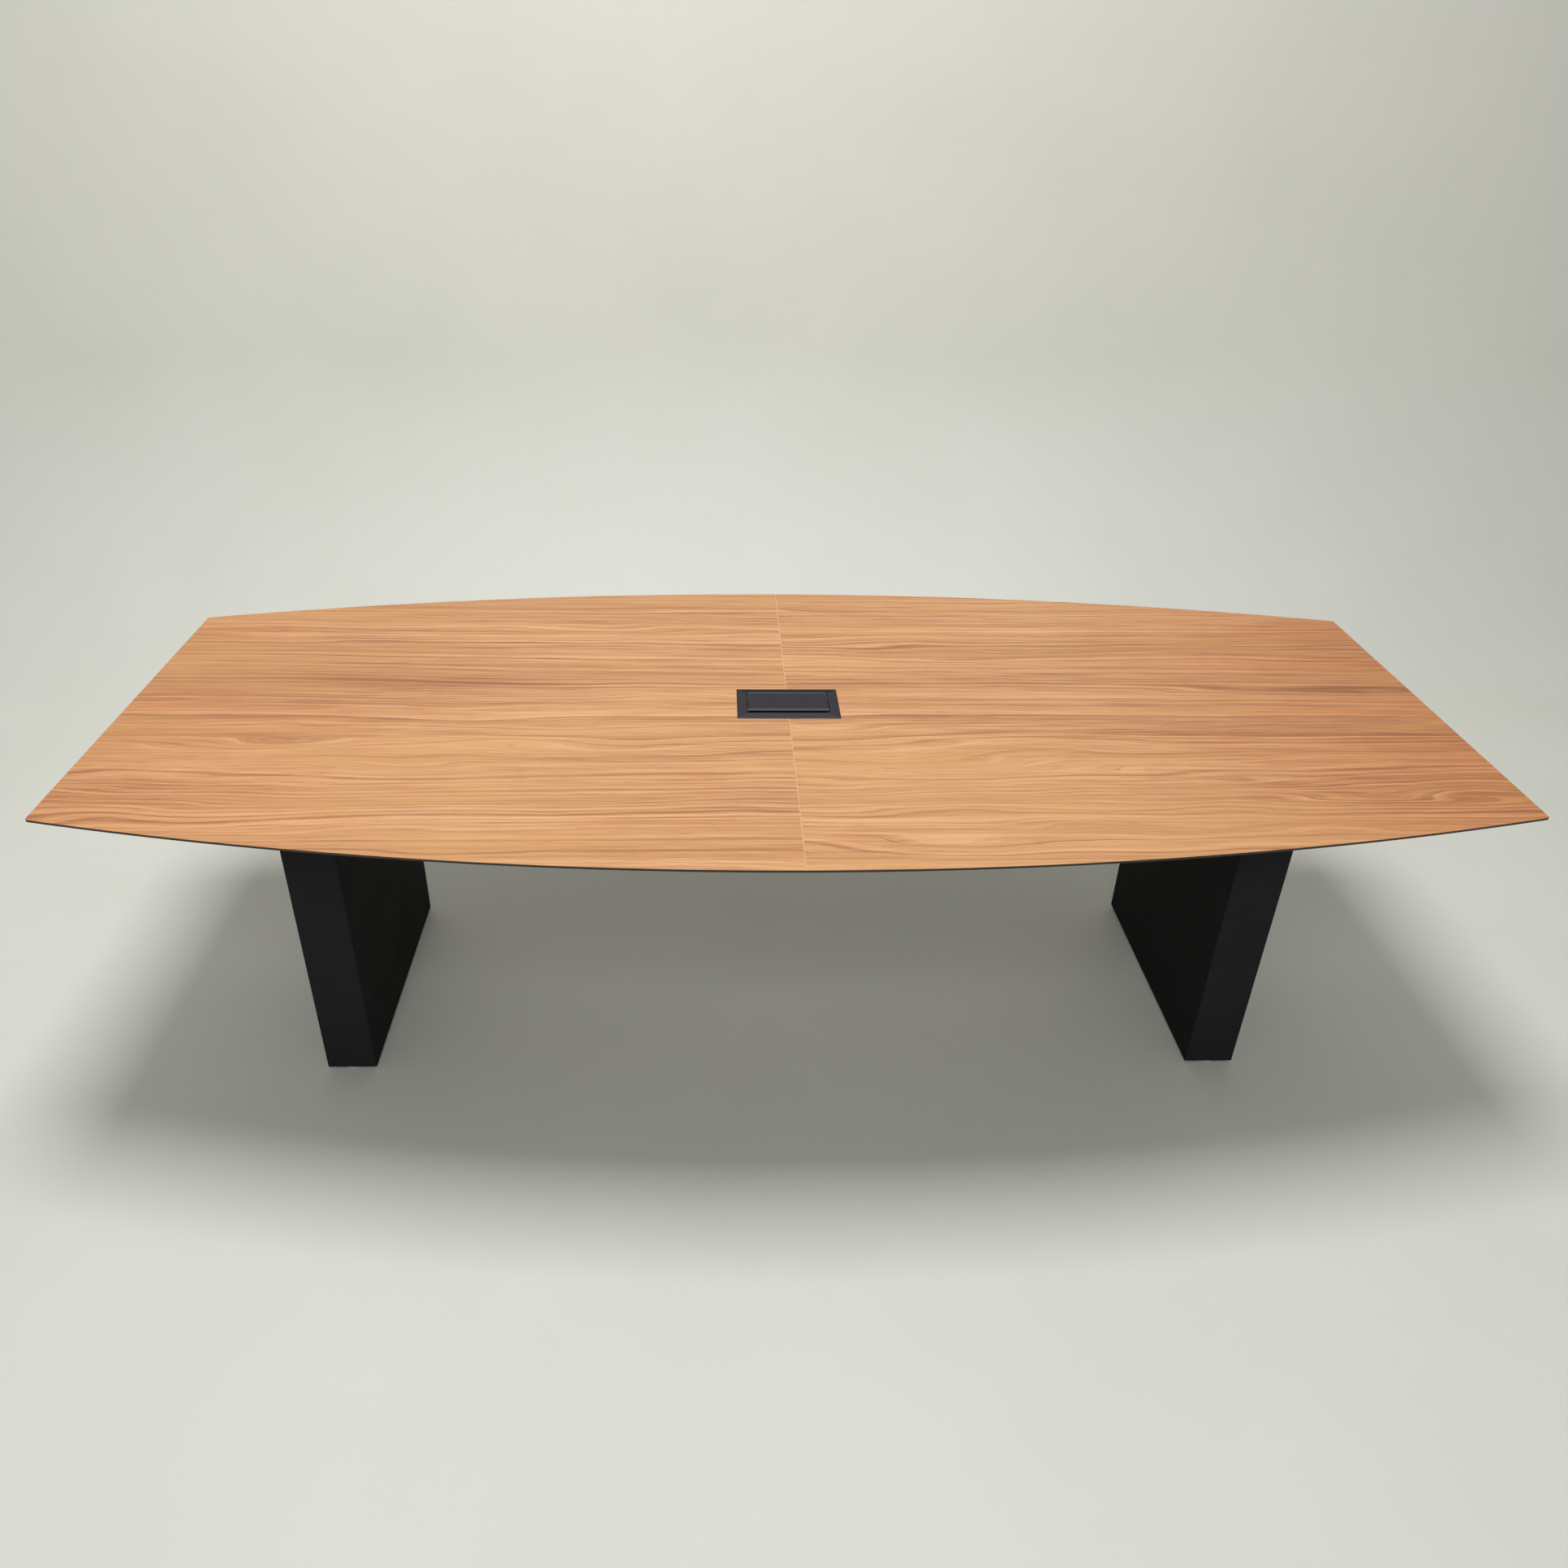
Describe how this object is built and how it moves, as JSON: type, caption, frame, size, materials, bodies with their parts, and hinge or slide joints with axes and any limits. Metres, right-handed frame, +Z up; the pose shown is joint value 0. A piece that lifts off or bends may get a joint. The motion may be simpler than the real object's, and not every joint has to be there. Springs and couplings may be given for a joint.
{
  "type": "conference table",
  "caption": "Boat-shaped conference table with a seamed wood-laminate top, dark knife edge, black slab legs on levelling glides and a flip-lid power box.",
  "frame": {"origin": "on the floor, under the middle of the top", "axes": "+X along the table, +Y from the front long edge to the rear one, +Z up"},
  "size_m": [2.75, 1.25, 0.753],
  "materials": {
    "wood_laminate": "satin wood-look laminate with grain along the table",
    "edge_black": "dark stained and sealed board edge",
    "leg_black": "matte black melamine",
    "bare_board": "bare particle board",
    "black_steel": "black powder coat",
    "zinc_steel": "bright zinc plate",
    "nylon": "moulded nylon",
    "box_charcoal": "fine-textured charcoal",
    "socket_black": "moulded black"
  },
  "bodies": {
    "table": {"top_laminate_left": "wood_laminate", "top_laminate_right": "wood_laminate", "top_board_left": "edge_black", "top_board_right": "edge_black", "seam_bolt_front": "zinc_steel", "seam_bolt_rear": "zinc_steel", "seam_nut_front": "zinc_steel", "seam_nut_rear": "zinc_steel", "stiffener_channel_front": "black_steel", "stiffener_channel_rear": "black_steel", "channel_screw_front_left": "zinc_steel", "channel_screw_front_right": "zinc_steel", "channel_screw_rear_left": "zinc_steel", "channel_screw_rear_right": "zinc_steel", "leg_left_outer_panel": "leg_black", "leg_left_inner_panel": "leg_black", "leg_left_front_stile": "leg_black", "leg_left_rear_stile": "leg_black", "leg_left_top_rail": "bare_board", "leg_left_bottom_rail": "bare_board", "leg_right_outer_panel": "leg_black", "leg_right_inner_panel": "leg_black", "leg_right_front_stile": "leg_black", "leg_right_rear_stile": "leg_black", "leg_right_top_rail": "bare_board", "leg_right_bottom_rail": "bare_board", "mount_plate_left": "black_steel", "mount_plate_right": "black_steel", "mount_screw_left_outer_front": "zinc_steel", "mount_screw_left_outer_rear": "zinc_steel", "mount_screw_left_inner_front": "zinc_steel", "mount_screw_left_inner_rear": "zinc_steel", "mount_screw_right_outer_front": "zinc_steel", "mount_screw_right_outer_rear": "zinc_steel", "mount_screw_right_inner_front": "zinc_steel", "mount_screw_right_inner_rear": "zinc_steel", "leg_screw_left_front": "zinc_steel", "leg_screw_left_rear": "zinc_steel", "leg_screw_right_front": "zinc_steel", "leg_screw_right_rear": "zinc_steel", "power_box_frame": "box_charcoal", "lid_hinge_rod": "zinc_steel", "power_box_tub": "black_steel", "socket_plate": "black_steel", "socket_module": "socket_black", "usb_module": "socket_black", "data_module": "socket_black", "power_inlet": "socket_black", "spring_clip_left": "zinc_steel", "spring_clip_right": "zinc_steel"},
    "lid": {"power_box_lid": "box_charcoal"},
    "left_front_pad": {"glide_pad_left_front": "nylon"},
    "left_front_stem": {"glide_stem_left_front": "zinc_steel"},
    "left_rear_pad": {"glide_pad_left_rear": "nylon"},
    "left_rear_stem": {"glide_stem_left_rear": "zinc_steel"},
    "right_front_pad": {"glide_pad_right_front": "nylon"},
    "right_front_stem": {"glide_stem_right_front": "zinc_steel"},
    "right_rear_pad": {"glide_pad_right_rear": "nylon"},
    "right_rear_stem": {"glide_stem_right_rear": "zinc_steel"}
  },
  "joints": [
    {"name": "lid_hinge", "type": "hinge", "parent": "table", "child": "lid", "pos_m": [0, 0.0268, 0.749], "axis": [-1, 0, 0], "range_deg": [0, 100]},
    {"name": "left_front_level", "type": "slide", "parent": "table", "child": "left_front_pad", "axis": [0, 0, 1], "range_m": [-0.012, 0]},
    {"name": "left_front_screw", "type": "hinge", "parent": "left_front_pad", "child": "left_front_stem", "pos_m": [-0.956, -0.282, 0], "axis": [0, 0, 1], "range_deg": [-3456, 0]},
    {"name": "left_rear_level", "type": "slide", "parent": "table", "child": "left_rear_pad", "axis": [0, 0, 1], "range_m": [-0.012, 0]},
    {"name": "left_rear_screw", "type": "hinge", "parent": "left_rear_pad", "child": "left_rear_stem", "pos_m": [-0.956, 0.282, 0], "axis": [0, 0, 1], "range_deg": [-3456, 0]},
    {"name": "right_front_level", "type": "slide", "parent": "table", "child": "right_front_pad", "axis": [0, 0, 1], "range_m": [-0.012, 0]},
    {"name": "right_front_screw", "type": "hinge", "parent": "right_front_pad", "child": "right_front_stem", "pos_m": [0.956, -0.282, 0], "axis": [0, 0, 1], "range_deg": [-3456, 0]},
    {"name": "right_rear_level", "type": "slide", "parent": "table", "child": "right_rear_pad", "axis": [0, 0, 1], "range_m": [-0.012, 0]},
    {"name": "right_rear_screw", "type": "hinge", "parent": "right_rear_pad", "child": "right_rear_stem", "pos_m": [0.956, 0.282, 0], "axis": [0, 0, 1], "range_deg": [-3456, 0]}
  ],
  "couplings": [
    {"joint": "left_front_screw", "follows": "left_front_level", "rad_per_m": 5026.5},
    {"joint": "left_rear_screw", "follows": "left_rear_level", "rad_per_m": 5026.5},
    {"joint": "right_front_screw", "follows": "right_front_level", "rad_per_m": 5026.5},
    {"joint": "right_rear_screw", "follows": "right_rear_level", "rad_per_m": 5026.5}
  ]
}
